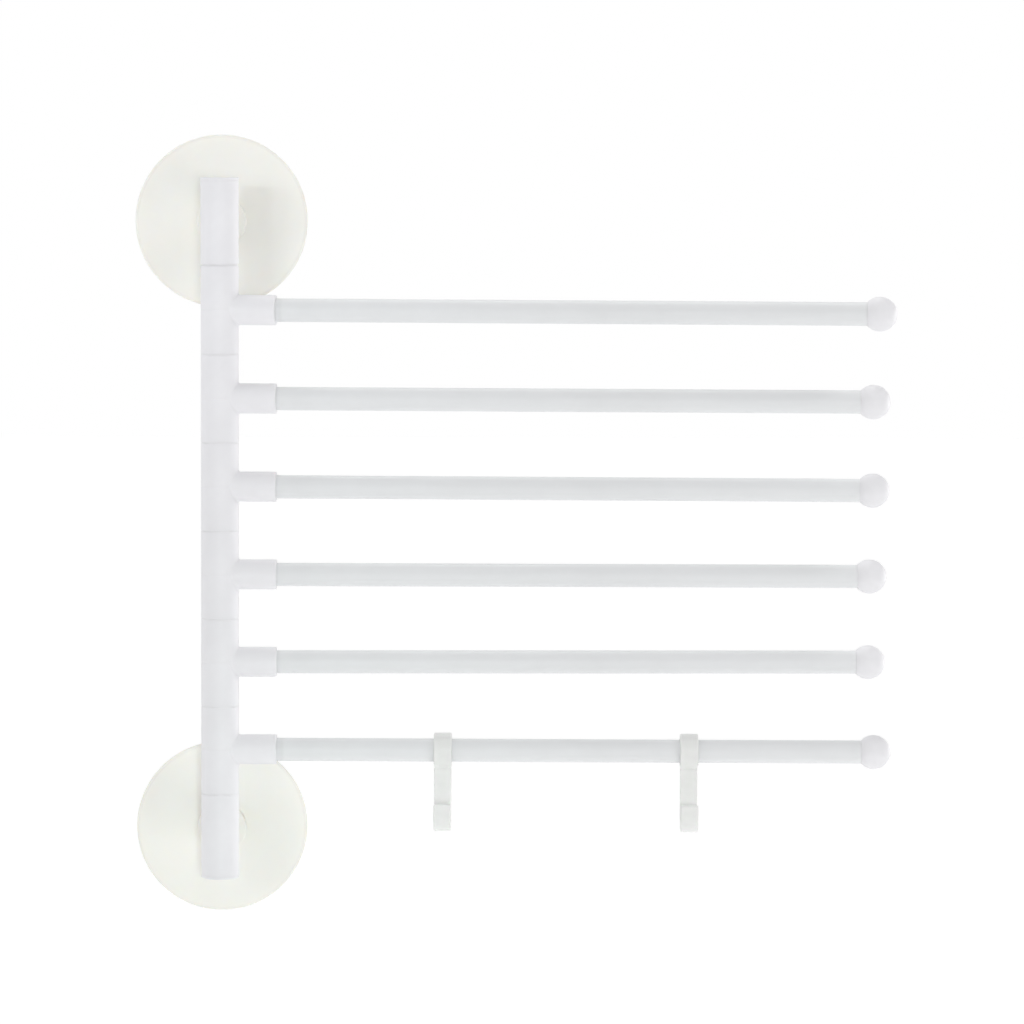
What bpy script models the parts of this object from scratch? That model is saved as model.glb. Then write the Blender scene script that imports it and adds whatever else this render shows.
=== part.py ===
"""Swivel towel rack: six arms on one post between two wall discs, with two hooks on the lowest arm.

Metres, +Z up. The arms run along +X, the wall is the plane Y = 0 and -Y points into the room.
The origin is the centre of the upper wall pad's back face.
"""

import math

import bmesh
import bpy
from mathutils import Matrix

# Clearances
GAP = 0.0003
CUT_OVERRUN = 0.001
MERGE_DISTANCE = 0.000001
SHARP_ANGLE = math.radians(35)

# Post: a stack of equal modules, a sleeve at each end and one hub for each arm
ARM_COUNT = 6
ARM_PITCH = 0.0385
POST_RADIUS = 0.0083
POST_EDGE = 0.0003
SEAM_GAP = 0.00045
TOP_SEAM_GAP = 0.0009
POST_TOP_RISE = 0.01885
POST_BOTTOM_DROP = 0.01815

# Shaft through the stack, with its nuts, washers and end caps
SHAFT_RADIUS = 0.003
SHAFT_EDGE = 0.0004
SHAFT_PAST_NUT = 0.0009
NUT_FLATS = 0.010
NUT_THICKNESS = 0.005
NUT_CLEARANCE = 0.0005
WASHER_THICKNESS = 0.001
RECESS_RIM = 0.0005
CAP_FLANGE = 0.001
CAP_EDGE = 0.0004
CAP_SPIGOT = 0.0015
CAP_SPIGOT_WALL = 0.0018

# Arms, with lengths counted from the post's axis. Some bars sit a little out of their sockets
ARM_REACH = 0.2917
ARM_PULL = 0.0023
ARM_PULL_SHARES = (0.87, 0.0, 0.0, 0.0, 0.22, 1.0)
ARM_FAN_DEGREES = (6.9, 4.1, 4.0, 1.7, 0.3, 2.4)
SOCKET_RADIUS = 0.0066
SOCKET_REACH = 0.0240
SOCKET_LIP = 0.0006
SOCKET_MOUTH = 0.0002
SOCKET_FLOOR = 0.0100
TUBE_RADIUS = 0.0051
TUBE_WALL = 0.0008
BALL_RADIUS = 0.0075
BALL_FLAT_OFFSET = 0.0055
STEM_LENGTH = 0.012
STEM_EDGE = 0.0006

# Wall pads, discs and fixing screws
POST_STANDOFF = 0.033
PAD_RADIUS = 0.036
PAD_THICKNESS = 0.001
DISC_RADIUS = 0.038
DISC_THICKNESS = 0.0027
DISC_EDGE = 0.0011
BOSS_RADIUS = 0.0108
BOSS_HEIGHT = 0.007
BOSS_EDGE = 0.0008
NECK_RADIUS = 0.0073
SCREW_RADIUS = 0.0025
SCREW_HEAD_RADIUS = 0.005
SCREW_HEAD_THICKNESS = 0.0018
SCREW_ENGAGEMENT = 0.010
SCREW_EDGE = 0.0005
SCREW_DRIVE_FLATS = 0.003
SCREW_DRIVE_DEPTH = 0.001

# Hooks on the lowest arm
HOOK_COUNT = 2
FIRST_HOOK_REACH = 0.0973
HOOK_SPACING = 0.1077
HOOK_RING_RADIUS = 0.0077
HOOK_RING_WIDTH = 0.0078
HOOK_RING_EDGE = 0.0005
HOOK_BAND_WIDTH = 0.0072
HOOK_BAND_THICKNESS = 0.0023
HOOK_BAND_EDGE = 0.0005
HOOK_DROP = 0.0347
HOOK_TIP_RISE = 0.013
HOOK_MOUTH_RADIUS = 0.0058
HOOK_TIP_LEAN_SHARE = 0.12

# Faces round each turned piece
DISC_SEGMENTS = 52
POST_SEGMENTS = 28
ARM_SEGMENTS = 22
SMALL_SEGMENTS = 16
NUT_SIDES = 6
EDGE_STEPS = 3
BALL_STEPS = 8
HOOK_BEND_STEPS = 8


def corner_radius(flats):
    """Radius to the corners of a hexagon from the distance between its flats."""
    return flats / 2 / math.cos(math.pi / NUT_SIDES)


# Sizes that follow from the ones above
CAP_STEP = CAP_FLANGE + GAP
SHAFT_BORE_RADIUS = SHAFT_RADIUS + GAP
NUT_RADIUS = corner_radius(NUT_FLATS)
POCKET_RADIUS = NUT_RADIUS + NUT_CLEARANCE
POCKET_DEPTH = NUT_THICKNESS + 2 * GAP + CAP_SPIGOT
RECESS_RADIUS = POST_RADIUS - RECESS_RIM
RECESS_DEPTH = WASHER_THICKNESS + 2 * GAP - SEAM_GAP
WASHER_RADIUS = RECESS_RADIUS - GAP
TOP_WASHER_THICKNESS = WASHER_THICKNESS + TOP_SEAM_GAP - SEAM_GAP
SOCKET_BORE_RADIUS = TUBE_RADIUS + GAP
BALL_CENTRE = ARM_REACH - BALL_RADIUS
TUBE_START = SOCKET_FLOOR + GAP
TUBE_END = BALL_CENTRE - BALL_FLAT_OFFSET - GAP
DISC_FRONT = PAD_THICKNESS + GAP + DISC_THICKNESS
BOSS_FRONT = DISC_FRONT + BOSS_HEIGHT
SCREW_BORE_RADIUS = SCREW_RADIUS + GAP
HOOK_BORE_RADIUS = TUBE_RADIUS + GAP
LOWER_DISC_HEIGHT = -ARM_PITCH * (ARM_COUNT + 1)
POST_BOTTOM = LOWER_DISC_HEIGHT - POST_BOTTOM_DROP
HUB_HEIGHT = ARM_PITCH - SEAM_GAP

# Turns a shape that was turned about Z so that its axis points along the arm or out of the wall
ALONG_ARM = Matrix.Rotation(math.pi / 2, 4, "Y")
OUT_OF_WALL = Matrix.Rotation(math.pi / 2, 4, "X")
INTO_WALL = Matrix.Rotation(-math.pi / 2, 4, "X")
UPSIDE_DOWN = Matrix.Rotation(math.pi, 4, "X")


def clear_scene():
    for item in list(bpy.data.objects):
        bpy.data.objects.remove(item, do_unlink=True)


def plain_material(name, colour, roughness, metallic=0.0):
    material = bpy.data.materials.new(name)
    material.use_nodes = True
    shader = material.node_tree.nodes["Principled BSDF"]
    shader.inputs["Base Color"].default_value = (*colour, 1.0)
    shader.inputs["Roughness"].default_value = roughness
    shader.inputs["Metallic"].default_value = metallic
    material.diffuse_color = (*colour, 1.0)
    return material


def finished_mesh(name, shape):
    bmesh.ops.remove_doubles(shape, verts=shape.verts, dist=MERGE_DISTANCE)
    bmesh.ops.recalc_face_normals(shape, faces=shape.faces)
    mesh = bpy.data.meshes.new(name)
    shape.to_mesh(mesh)
    shape.free()
    return mesh


def turned_mesh(name, profile, segments):
    """Turns (radius, height) points about Z. A profile that starts off the axis makes a ring."""
    shape = bmesh.new()
    corners = [shape.verts.new((radius, 0.0, height)) for radius, height in profile]
    pairs = list(zip(corners, corners[1:]))
    if profile[0][0] > 0:
        pairs.append((corners[-1], corners[0]))
    edges = [shape.edges.new(pair) for pair in pairs]
    bmesh.ops.spin(
        shape,
        geom=corners + edges,
        cent=(0, 0, 0),
        axis=(0, 0, 1),
        angle=math.tau,
        steps=segments,
        use_merge=True,
    )
    return finished_mesh(name, shape)


def helper_object(mesh, placing):
    helper = bpy.data.objects.new(mesh.name, mesh)
    helper.matrix_world = placing
    helper.hide_render = True
    helper.display_type = "WIRE"
    bpy.context.scene.collection.objects.link(helper)
    return helper


def combined_mesh(name, base, steps):
    """Joins or cuts the base mesh with each (operation, mesh, placing) in turn."""
    body = helper_object(base, Matrix())
    helpers = []
    for operation, mesh, placing in steps:
        helper = helper_object(mesh, placing)
        helpers.append(helper)
        modifier = body.modifiers.new(mesh.name, "BOOLEAN")
        modifier.operation = operation
        modifier.solver = "EXACT"
        modifier.object = helper
    bpy.context.view_layer.update()
    graph = bpy.context.evaluated_depsgraph_get()
    result = bpy.data.meshes.new_from_object(body.evaluated_get(graph))
    result.name = name
    for helper in [body, *helpers]:
        bpy.data.objects.remove(helper, do_unlink=True)
    return result


def shaded(mesh, material):
    mesh.materials.clear()
    mesh.materials.append(material)
    mesh.shade_smooth()
    mesh.set_sharp_from_angle(angle=SHARP_ANGLE)
    return mesh


def place(name, mesh, placing, parent=None):
    item = bpy.data.objects.new(name, mesh)
    bpy.context.scene.collection.objects.link(item)
    item.parent = parent
    item.matrix_basis = placing
    return item


def pivot(name, placing):
    item = place(name, None, placing)
    item.empty_display_size = POST_RADIUS
    return item


def rounded_corner(radius, height, edge):
    """Quarter round from the outer wall to the flat top, for an outer edge at (radius, height)."""
    points = []
    for step in range(EDGE_STEPS + 1):
        angle = math.pi / 2 * step / EDGE_STEPS
        outwards = edge * math.cos(angle)
        upwards = edge * math.sin(angle)
        points.append((radius - edge + outwards, height - edge + upwards))
    return points


def rod_profile(radius, bottom, top, edge=0.0):
    """Solid rod about Z, with a chamfer at both ends if it has an edge."""
    ends = [(radius - edge, bottom), (radius, bottom + edge), (radius, top - edge), (radius - edge, top)]
    if not edge:
        ends = ends[::2]
    return [(0, bottom), *ends, (0, top)]


def ring_profile(inner, outer, bottom, top):
    return [(inner, bottom), (outer, bottom), (outer, top), (inner, top)]


def root_offset(bore, outer, side):
    """Where a round stub of radius side starts, inside the wall between the bore and the outer wall."""
    return (bore + math.sqrt(outer**2 - side**2)) / 2


# Arms


def hub_blank():
    half = HUB_HEIGHT / 2
    profile = [
        (SHAFT_BORE_RADIUS, -half),
        (POST_RADIUS - POST_EDGE, -half),
        (POST_RADIUS, -half + POST_EDGE),
        (POST_RADIUS, half - POST_EDGE),
        (POST_RADIUS - POST_EDGE, half),
        (RECESS_RADIUS, half),
        (RECESS_RADIUS, half - RECESS_DEPTH),
        (SHAFT_BORE_RADIUS, half - RECESS_DEPTH),
    ]
    return turned_mesh("hub blank", profile, POST_SEGMENTS)


def socket_blank():
    start = root_offset(SHAFT_BORE_RADIUS, POST_RADIUS, SOCKET_RADIUS)
    profile = [
        (0, start),
        (SOCKET_RADIUS, start),
        (SOCKET_RADIUS, SOCKET_REACH - SOCKET_LIP),
        (SOCKET_RADIUS - SOCKET_LIP, SOCKET_REACH),
        (0, SOCKET_REACH),
    ]
    return turned_mesh("socket", profile, ARM_SEGMENTS)


def socket_cutter():
    profile = [
        (0, SOCKET_FLOOR),
        (SOCKET_BORE_RADIUS, SOCKET_FLOOR),
        (SOCKET_BORE_RADIUS, SOCKET_REACH - SOCKET_MOUTH),
        (SOCKET_BORE_RADIUS + SOCKET_MOUTH, SOCKET_REACH),
        (SOCKET_BORE_RADIUS + SOCKET_MOUTH, SOCKET_REACH + CUT_OVERRUN),
        (0, SOCKET_REACH + CUT_OVERRUN),
    ]
    return turned_mesh("socket bore", profile, ARM_SEGMENTS)


def hub_mesh():
    steps = [
        ("UNION", socket_blank(), ALONG_ARM),
        ("DIFFERENCE", socket_cutter(), ALONG_ARM),
    ]
    return combined_mesh("arm hub", hub_blank(), steps)


def tube_mesh():
    profile = ring_profile(TUBE_RADIUS - TUBE_WALL, TUBE_RADIUS, TUBE_START, TUBE_END)
    return turned_mesh("arm tube", profile, ARM_SEGMENTS)


def ball_mesh():
    """Ball end with a flat against the tube and a stem inside it."""
    stem = TUBE_RADIUS - TUBE_WALL - GAP
    flat = BALL_CENTRE - BALL_FLAT_OFFSET
    stem_start = flat - STEM_LENGTH
    first = math.acos(-BALL_FLAT_OFFSET / BALL_RADIUS)
    profile = [
        (0, stem_start),
        (stem - STEM_EDGE, stem_start),
        (stem, stem_start + STEM_EDGE),
        (stem, flat),
    ]
    for step in range(BALL_STEPS):
        angle = first * (1 - step / BALL_STEPS)
        profile.append(
            (BALL_RADIUS * math.sin(angle), BALL_CENTRE + BALL_RADIUS * math.cos(angle))
        )
    profile.append((0, ARM_REACH))
    return turned_mesh("arm ball", profile, ARM_SEGMENTS)


# Stack ends


def sleeve_blank(inner_end, outer_end, recess):
    """Sleeve with its disc's centre at height 0 and its nut's pocket in the free end, at outer_end."""
    pocket_floor = outer_end - POCKET_DEPTH
    profile = [
        (POST_RADIUS - POST_EDGE, inner_end),
        (POST_RADIUS, inner_end + POST_EDGE),
        (POST_RADIUS, outer_end - POST_EDGE),
        (POST_RADIUS - POST_EDGE, outer_end),
        (POCKET_RADIUS, outer_end),
        (POCKET_RADIUS, pocket_floor),
        (SHAFT_BORE_RADIUS, pocket_floor),
    ]
    if recess:
        profile.append((SHAFT_BORE_RADIUS, inner_end + RECESS_DEPTH))
        profile.append((RECESS_RADIUS, inner_end + RECESS_DEPTH))
        profile.append((RECESS_RADIUS, inner_end))
    else:
        profile.append((SHAFT_BORE_RADIUS, inner_end))
    return turned_mesh("sleeve blank", profile, POST_SEGMENTS)


def sleeve_mesh(name, inner_end, outer_end, recess):
    """Sleeve with a neck towards the wall, bored for the fixing screw."""
    neck_start = root_offset(SHAFT_BORE_RADIUS, POST_RADIUS, NECK_RADIUS)
    neck_end = POST_STANDOFF - BOSS_FRONT - GAP
    bore_start = neck_end - SCREW_ENGAGEMENT - GAP
    neck = rod_profile(NECK_RADIUS, neck_start, neck_end)
    bore = rod_profile(SCREW_BORE_RADIUS, bore_start, neck_end + CUT_OVERRUN)
    steps = [
        ("UNION", turned_mesh("neck", neck, POST_SEGMENTS), INTO_WALL),
        ("DIFFERENCE", turned_mesh("screw bore", bore, SMALL_SEGMENTS), INTO_WALL),
    ]
    return combined_mesh(name, sleeve_blank(inner_end, outer_end, recess), steps)


def cap_mesh():
    """End cap with its flange's outer face at height 0 and its spigot below."""
    spigot_outer = POCKET_RADIUS - GAP
    spigot_inner = spigot_outer - CAP_SPIGOT_WALL
    spigot_end = -CAP_STEP - CAP_SPIGOT
    profile = [
        (0, 0),
        (POST_RADIUS - CAP_EDGE, 0),
        (POST_RADIUS, -CAP_EDGE),
        (POST_RADIUS, -CAP_FLANGE),
        (spigot_outer, -CAP_FLANGE),
        (spigot_outer, spigot_end),
        (spigot_inner, spigot_end),
        (spigot_inner, -CAP_FLANGE),
        (0, -CAP_FLANGE),
    ]
    return turned_mesh("end cap", profile, POST_SEGMENTS)


def nut_mesh():
    blank = turned_mesh("nut blank", rod_profile(NUT_RADIUS, 0, NUT_THICKNESS), NUT_SIDES)
    bore = rod_profile(SHAFT_BORE_RADIUS, -CUT_OVERRUN, NUT_THICKNESS + CUT_OVERRUN)
    cutter = turned_mesh("nut bore", bore, SMALL_SEGMENTS)
    return combined_mesh("shaft nut", blank, [("DIFFERENCE", cutter, Matrix())])


def washer_mesh(thickness):
    profile = ring_profile(SHAFT_BORE_RADIUS, WASHER_RADIUS, 0, thickness)
    return turned_mesh("washer", profile, POST_SEGMENTS)


# Wall pieces, turned about an axis that points out of the wall


def pad_mesh():
    return turned_mesh("wall pad", rod_profile(PAD_RADIUS, 0, PAD_THICKNESS), DISC_SEGMENTS)


def disc_mesh():
    """Disc with a rounded front edge, a boss in front and a recess for the screw's head behind."""
    back = PAD_THICKNESS + GAP
    recess_radius = SCREW_HEAD_RADIUS + GAP
    recess_floor = back + SCREW_HEAD_THICKNESS + GAP
    profile = [
        (recess_radius, back),
        (DISC_RADIUS, back),
        *rounded_corner(DISC_RADIUS, DISC_FRONT, DISC_EDGE),
        (BOSS_RADIUS, DISC_FRONT),
        (BOSS_RADIUS, BOSS_FRONT - BOSS_EDGE),
        (BOSS_RADIUS - BOSS_EDGE, BOSS_FRONT),
        (SCREW_BORE_RADIUS, BOSS_FRONT),
        (SCREW_BORE_RADIUS, recess_floor),
        (recess_radius, recess_floor),
    ]
    return turned_mesh("wall disc", profile, DISC_SEGMENTS)


def screw_mesh():
    """Fixing screw with its head in the disc's back and its tip in the sleeve's neck."""
    head = PAD_THICKNESS + GAP
    neck = head + SCREW_HEAD_THICKNESS
    tip = BOSS_FRONT + GAP + SCREW_ENGAGEMENT
    profile = [
        (0, head),
        (SCREW_HEAD_RADIUS, head),
        (SCREW_HEAD_RADIUS, neck),
        (SCREW_RADIUS, neck),
        (SCREW_RADIUS, tip - SCREW_EDGE),
        (SCREW_RADIUS - SCREW_EDGE, tip),
        (0, tip),
    ]
    drive = rod_profile(corner_radius(SCREW_DRIVE_FLATS), head - CUT_OVERRUN, head + SCREW_DRIVE_DEPTH)
    blank = turned_mesh("screw blank", profile, SMALL_SEGMENTS)
    cutter = turned_mesh("screw drive", drive, NUT_SIDES)
    return combined_mesh("fixing screw", blank, [("DIFFERENCE", cutter, Matrix())])


# Hooks, with the arm's axis along X and -Y pointing into the room


def hook_path():
    """Middle line of the band, as (y, z) points from the ring down, round the bend and up the tip."""
    bend = HOOK_MOUTH_RADIUS + HOOK_BAND_THICKNESS / 2
    bend_height = -HOOK_DROP + HOOK_BAND_THICKNESS / 2 + bend
    ring_middle = (HOOK_BORE_RADIUS + HOOK_RING_RADIUS) / 2
    points = [(0, -ring_middle)]
    for step in range(HOOK_BEND_STEPS + 1):
        angle = math.pi * step / HOOK_BEND_STEPS
        points.append((-bend + bend * math.cos(angle), bend_height - bend * math.sin(angle)))
    rise = HOOK_TIP_RISE - HOOK_DROP - bend_height
    points.append((-2 * bend - HOOK_TIP_LEAN_SHARE * rise, bend_height + rise))
    return points


def side_normals(path):
    """Unit normals of the path, by the direction between each point's neighbours."""
    normals = []
    for index in range(len(path)):
        before = path[max(index - 1, 0)]
        after = path[min(index + 1, len(path) - 1)]
        run, rise = after[0] - before[0], after[1] - before[1]
        length = math.hypot(run, rise)
        normals.append((-rise / length, run / length))
    return normals


def band_mesh():
    """Flat band swept along the hook's path, with its edges rounded."""
    path = hook_path()
    half_width, half_thickness = HOOK_BAND_WIDTH / 2, HOOK_BAND_THICKNESS / 2
    shape = bmesh.new()
    rings = []
    for (y, z), (out_y, out_z) in zip(path, side_normals(path)):
        corners = []
        for side, face in ((-1, -1), (1, -1), (1, 1), (-1, 1)):
            offset = face * half_thickness
            corners.append((side * half_width, y + offset * out_y, z + offset * out_z))
        rings.append([shape.verts.new(corner) for corner in corners])
    for first, second in zip(rings, rings[1:]):
        for corner in range(len(first)):
            following = (corner + 1) % len(first)
            shape.faces.new((first[corner], first[following], second[following], second[corner]))
    shape.faces.new(rings[0])
    shape.faces.new(rings[-1])
    bmesh.ops.recalc_face_normals(shape, faces=shape.faces)
    long_edges = [edge for edge in shape.edges if edge.calc_face_angle() > math.pi / 4]
    bmesh.ops.bevel(
        shape, geom=long_edges, offset=HOOK_BAND_EDGE, segments=1, affect="EDGES"
    )
    return finished_mesh("hook band", shape)


def hook_mesh():
    half = HOOK_RING_WIDTH / 2
    profile = [
        (HOOK_BORE_RADIUS, -half),
        (HOOK_RING_RADIUS - HOOK_RING_EDGE, -half),
        (HOOK_RING_RADIUS, -half + HOOK_RING_EDGE),
        (HOOK_RING_RADIUS, half - HOOK_RING_EDGE),
        (HOOK_RING_RADIUS - HOOK_RING_EDGE, half),
        (HOOK_BORE_RADIUS, half),
    ]
    ring = turned_mesh("hook ring", profile, ARM_SEGMENTS)
    ring.transform(ALONG_ARM)
    return combined_mesh("hook", ring, [("UNION", band_mesh(), Matrix())])


# Assembly


def build_wall_pieces(plastic, foam, metal):
    pad = shaded(pad_mesh(), foam)
    disc = shaded(disc_mesh(), plastic)
    screw = shaded(screw_mesh(), metal)
    for side, height in (("upper", 0), ("lower", LOWER_DISC_HEIGHT)):
        placing = Matrix.Translation((0, 0, height)) @ OUT_OF_WALL
        place(side + "_wall_pad", pad, placing)
        place(side + "_wall_disc", disc, placing)
        place(side + "_fixing_screw", screw, placing)


def on_post(height):
    return Matrix.Translation((0, -POST_STANDOFF, height))


def build_sleeves(plastic):
    seam = -ARM_PITCH / 2 + SEAM_GAP / 2
    top_seam = -ARM_PITCH / 2 + TOP_SEAM_GAP - SEAM_GAP / 2
    upper = sleeve_mesh("top sleeve", top_seam, POST_TOP_RISE - CAP_STEP, False)
    lower = sleeve_mesh("bottom sleeve", seam, POST_BOTTOM_DROP - CAP_STEP, True)
    lower.transform(Matrix.Scale(-1, 4, (0, 0, 1)))
    lower.flip_normals()
    place("top_sleeve", shaded(upper, plastic), on_post(0))
    place("bottom_sleeve", shaded(lower, plastic), on_post(LOWER_DISC_HEIGHT))


def build_caps_and_shaft(plastic, metal):
    cap = shaded(cap_mesh(), plastic)
    nut = shaded(nut_mesh(), metal)
    nut_offset = CAP_STEP + POCKET_DEPTH - GAP
    top_nut = POST_TOP_RISE - nut_offset
    bottom_nut = POST_BOTTOM + nut_offset
    place("top_cap", cap, on_post(POST_TOP_RISE))
    place("bottom_cap", cap, on_post(POST_BOTTOM) @ UPSIDE_DOWN)
    place("top_nut", nut, on_post(top_nut))
    place("bottom_nut", nut, on_post(bottom_nut) @ UPSIDE_DOWN)
    past_nut = NUT_THICKNESS + SHAFT_PAST_NUT
    shaft = rod_profile(SHAFT_RADIUS, bottom_nut - past_nut, top_nut + past_nut, SHAFT_EDGE)
    place("shaft", shaded(turned_mesh("shaft", shaft, SMALL_SEGMENTS), metal), on_post(0))


def build_washers(nylon):
    """One washer in the recess below each seam of the stack, the first one thicker for its wider seam."""
    washers = [shaded(washer_mesh(TOP_WASHER_THICKNESS), nylon)]
    washers += [shaded(washer_mesh(WASHER_THICKNESS), nylon)] * ARM_COUNT
    floor = -ARM_PITCH / 2 - SEAM_GAP / 2 - RECESS_DEPTH
    for index, washer in enumerate(washers):
        place(f"washer_{index + 1}", washer, on_post(floor + GAP - ARM_PITCH * index))


def build_arms(plastic, coated):
    hub = shaded(hub_mesh(), plastic)
    tube = shaded(tube_mesh(), coated)
    ball = shaded(ball_mesh(), plastic)
    pivots = []
    for index in range(ARM_COUNT):
        name = f"arm_{index + 1}"
        turn = Matrix.Rotation(-math.radians(ARM_FAN_DEGREES[index]), 4, "Z")
        arm_pivot = pivot(name + "_pivot", on_post(-ARM_PITCH * (index + 1)) @ turn)
        pulled = Matrix.Translation((ARM_PULL * ARM_PULL_SHARES[index], 0, 0)) @ ALONG_ARM
        place(name + "_hub", hub, Matrix(), arm_pivot)
        place(name + "_tube", tube, pulled, arm_pivot)
        place(name + "_ball", ball, pulled, arm_pivot)
        pivots.append(arm_pivot)
    return pivots


def build_hooks(clear_plastic, arm_pivot):
    hook = shaded(hook_mesh(), clear_plastic)
    for index in range(HOOK_COUNT):
        station = FIRST_HOOK_REACH + HOOK_SPACING * index
        place(f"hook_{index + 1}", hook, Matrix.Translation((station, 0, 0)), arm_pivot)


def main():
    clear_scene()
    white_plastic = plain_material("white plastic", (0.80, 0.80, 0.81), 0.35)
    white_coating = plain_material("white coating", (0.78, 0.78, 0.80), 0.30)
    milky_plastic = plain_material("milky plastic", (0.85, 0.84, 0.80), 0.40)
    hook_plastic = plain_material("hook plastic", (0.82, 0.83, 0.80), 0.30)
    pad_foam = plain_material("pad foam", (0.70, 0.70, 0.68), 0.80)
    steel = plain_material("steel", (0.55, 0.55, 0.56), 0.35, 1.0)
    nylon = plain_material("nylon", (0.75, 0.75, 0.72), 0.50)
    build_wall_pieces(milky_plastic, pad_foam, steel)
    build_sleeves(white_plastic)
    build_caps_and_shaft(white_plastic, steel)
    build_washers(nylon)
    pivots = build_arms(white_plastic, white_coating)
    build_hooks(hook_plastic, pivots[-1])


main()
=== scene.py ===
"""Looks of the swivel towel rack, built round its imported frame.

Metres, +Z up. The wall is the plane Y = 0, -Y points into the room and the arms run along +X.
The sizes repeat those of the CAD source, which this script can't read, and differ from them by
less than a millimetre where the photograph shows it.
"""

import math

import bmesh
import bpy
from mathutils import Matrix, Vector


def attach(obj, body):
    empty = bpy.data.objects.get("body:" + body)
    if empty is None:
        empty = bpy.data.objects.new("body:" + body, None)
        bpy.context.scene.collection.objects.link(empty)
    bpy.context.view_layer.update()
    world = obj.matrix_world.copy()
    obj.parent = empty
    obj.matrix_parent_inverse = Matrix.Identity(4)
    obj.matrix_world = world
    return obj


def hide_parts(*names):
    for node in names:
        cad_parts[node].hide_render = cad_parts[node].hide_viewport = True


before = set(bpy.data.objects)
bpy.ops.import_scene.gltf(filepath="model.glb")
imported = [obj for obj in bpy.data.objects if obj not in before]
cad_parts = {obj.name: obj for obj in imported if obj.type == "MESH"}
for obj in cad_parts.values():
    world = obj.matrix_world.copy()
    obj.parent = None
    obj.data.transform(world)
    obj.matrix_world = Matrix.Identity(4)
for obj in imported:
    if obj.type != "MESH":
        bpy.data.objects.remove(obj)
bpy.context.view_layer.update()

# Camera, fitted to the photograph
CAMERA_PLACE = (0.0564, -1.8119, 0.0075)
CAMERA_YAW = math.radians(2.294)
CAMERA_PITCH = math.radians(-4.306)
CAMERA_ROLL = math.radians(0.253)
CAMERA_LENS = 143.3
SENSOR_WIDTH = 36.0

# Clearances and tolerances
GAP = 0.0003
CUT_OVERRUN = 0.001
SINK = 0.00003
MERGE_DISTANCE = 0.000001
SHARP_ANGLE = math.radians(38)

# Post
ARM_COUNT = 6
ARM_PITCH = 0.0385
POST_RADIUS = 0.0083
POST_EDGE = 0.00009
SEAM_CLEARANCE = 0.00002
SEAM_INSET = 0.00008
TOP_SEAM_INSET = 0.00042
SEAM_GAP = 0.00045
TOP_SEAM_GAP = 0.0009
POST_TOP_RISE = 0.01885
POST_BOTTOM_DROP = 0.01815
SHAFT_BORE_RADIUS = 0.0033
RECESS_RIM = 0.0005
WASHER_THICKNESS = 0.001
NUT_THICKNESS = 0.005
POCKET_RADIUS = 0.0062735
CAP_FLANGE = 0.001
CAP_EDGE = 0.0004
CAP_SPIGOT = 0.0015
CAP_SPIGOT_WALL = 0.0018
CAP_GATE_RADIUS = 0.0009
CAP_GATE_DEPTH = 0.00025
RECESS_RADIUS = POST_RADIUS - RECESS_RIM
WASHER_RADIUS = RECESS_RADIUS - GAP
RECESS_DEPTH = WASHER_THICKNESS + 2 * GAP - SEAM_GAP
CAP_STEP = CAP_FLANGE + GAP
CAP_SEAT = CAP_STEP - SEAM_CLEARANCE
POCKET_DEPTH = NUT_THICKNESS + 2 * GAP + CAP_SPIGOT
HUB_HEIGHT = ARM_PITCH - SEAM_GAP
GROOVE_WIDTH = 0.00034
GROOVE_DEPTH = 0.00012

# Arms
ARM_REACH = 0.2917
ARM_PULL = 0.0023
ARM_PULL_SHARES = (0.87, 0.0, 0.0, 0.0, 0.22, 1.0)
ARM_FAN_DEGREES = (6.9, 4.1, 4.0, 1.7, 0.3, 2.4)
SOCKET_RADIUS = 0.0066
SOCKET_REACH = 0.0248
SOCKET_LIP = 0.0005
SOCKET_MOUTH = 0.00003
SOCKET_MOUTH_DEPTH = 0.0008
SOCKET_FLOOR = 0.0100
SOCKET_FILLET = 0.0008
TUBE_RADIUS = 0.0051
TUBE_WALL = 0.0008
TUBE_EDGE = 0.00015
BALL_RADIUS = 0.0075
BALL_FLAT_OFFSET = 0.0055
STEM_LENGTH = 0.012
STEM_EDGE = 0.0006
BALL_CENTRE = ARM_REACH - BALL_RADIUS
TUBE_START = SOCKET_FLOOR + GAP
TUBE_END = BALL_CENTRE - BALL_FLAT_OFFSET - SEAM_CLEARANCE
BORE_RADIUS = TUBE_RADIUS + GAP

# Wall pieces
POST_STANDOFF = 0.033
PAD_RADIUS = 0.036
PAD_THICKNESS = 0.001
PAD_EDGE = 0.0003
DISC_RADIUS = 0.038
DISC_THICKNESS = 0.0027
DISC_EDGE = 0.0011
BOSS_RADIUS = 0.0108
BOSS_HEIGHT = 0.007
BOSS_EDGE = 0.0004
BOSS_FILLET = 0.0003
NECK_RADIUS = 0.0073
NECK_FILLET = 0.0006
SCREW_ENGAGEMENT = 0.010
SCREW_HEAD_RADIUS = 0.005
SCREW_HEAD_THICKNESS = 0.0018
SCREW_BORE_RADIUS = 0.0028
DISC_BACK = PAD_THICKNESS + GAP
DISC_FRONT = DISC_BACK + DISC_THICKNESS
BOSS_FRONT = DISC_FRONT + BOSS_HEIGHT
LOWER_DISC_HEIGHT = -ARM_PITCH * (ARM_COUNT + 1)
POST_BOTTOM = LOWER_DISC_HEIGHT - POST_BOTTOM_DROP

# Hooks
HOOK_REACHES = (0.0977, 0.2056)
HOOK_RING_RADIUS = 0.0077
HOOK_RING_WIDTH = 0.0079
HOOK_RING_EDGE = 0.0005
HOOK_BAND_WIDTH = 0.0077
HOOK_BAND_THICKNESS = 0.0023
HOOK_BAND_EDGE = 0.0006
HOOK_DROP = 0.0347
HOOK_TIP_RISE = 0.013
HOOK_MOUTH_RADIUS = 0.0058
HOOK_TIP_LEAN_SHARE = 0.12
HOOK_TIP_ROUNDING = 0.0011

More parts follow.
